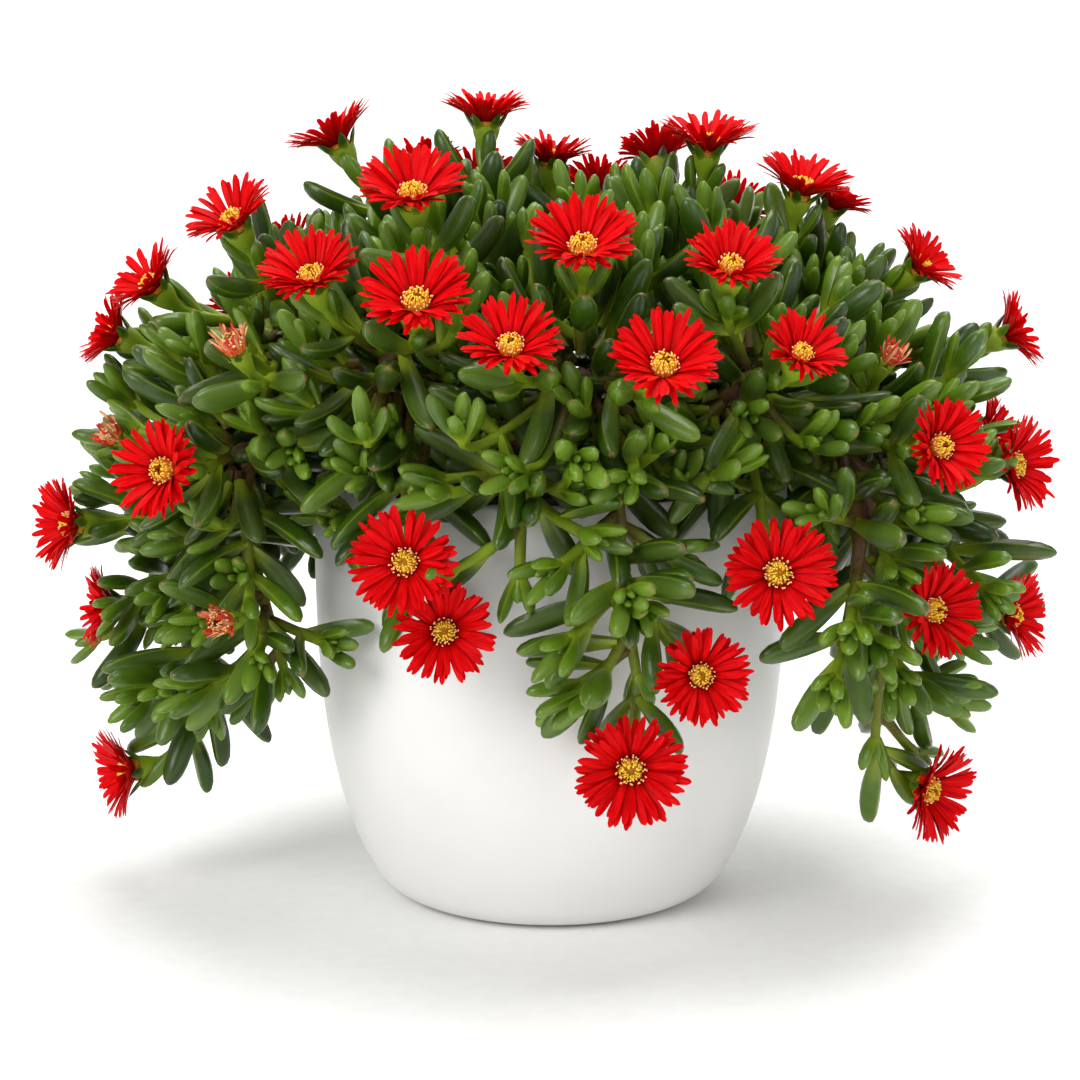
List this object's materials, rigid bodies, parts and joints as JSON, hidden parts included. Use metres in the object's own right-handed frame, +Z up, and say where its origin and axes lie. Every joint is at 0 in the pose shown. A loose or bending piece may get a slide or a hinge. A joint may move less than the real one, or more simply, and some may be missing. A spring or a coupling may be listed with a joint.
{
  "type": "potted ice plant",
  "caption": "Plain white tapered pot filled with soil, with a fleshy-leaved ice plant that domes over it, hangs over its rim and carries red many-petalled blooms.",
  "frame": {"origin": "middle of the flat face that the pot stands on", "axes": "+Z up the pot's axis, -Y towards the front of the plant as pictured, +X to its right seen from the front"},
  "size_m": [0.3199, 0.2654, 0.2551],
  "materials": {
    "pot": "satin",
    "soil": "matte",
    "leaves": "satin",
    "petals": "satin",
    "spent_petals": "matte"
  },
  "bodies": {
    "root": {"bloom_back_left_1": "petals", "bloom_back_left_2": "petals", "bloom_back_left_3": "petals", "bloom_back_right_1": "petals", "bloom_back_right_pair": "petals", "bloom_back_right_upper_pair": "petals", "bloom_back_top_pair": "petals", "bloom_back_trail_1": "petals", "bloom_back_trail_pair": "petals", "bloom_centre_trail_1": "petals", "bloom_centre_trail_2": "petals", "bloom_front_left_1": "petals", "bloom_front_left_2": "petals", "bloom_front_left_3": "petals", "bloom_front_left_4": "petals", "bloom_front_right_1": "petals", "bloom_front_right_2": "petals", "bloom_left_side_1": "petals", "bloom_left_side_2": "petals", "bloom_left_trail_1": "petals", "bloom_left_trail_2": "petals", "bloom_left_upper_1": "petals", "bloom_left_upper_2": "petals", "bloom_left_upper_3": "petals", "bloom_right_front_1": "petals", "bloom_right_front_2": "petals", "bloom_right_front_3": "petals", "bloom_right_side_1": "petals", "bloom_right_side_2": "petals", "bloom_right_side_3": "petals", "bloom_right_side_4": "petals", "bloom_right_trail_1": "petals", "bloom_right_trail_2": "petals", "bloom_right_trail_3": "petals", "bloom_right_upper_1": "petals", "bloom_right_upper_2": "petals", "bloom_right_upper_3": "petals", "bloom_top_1": "petals", "bloom_top_2": "petals", "bloom_top_3": "petals", "bloom_top_4": "petals", "bloom_top_5": "petals", "bloom_top_6": "petals", "bloom_top_7": "petals", "bloom_top_8": "petals", "leafy_stem_back_trail": "leaves", "leafy_stem_centre_trail": "leaves", "leafy_stem_left_trail": "leaves", "leafy_stem_right_trail": "leaves", "leafy_stems_back": "leaves", "leafy_stems_front": "leaves", "leafy_stems_left": "leaves", "leafy_stems_right": "leaves", "leafy_stems_top": "leaves", "pot": "pot", "soil": "soil", "spent_bloom_1": "spent_petals", "spent_bloom_2": "spent_petals", "spent_bloom_3": "spent_petals", "spent_bloom_4": "spent_petals"}
  },
  "joints": []
}
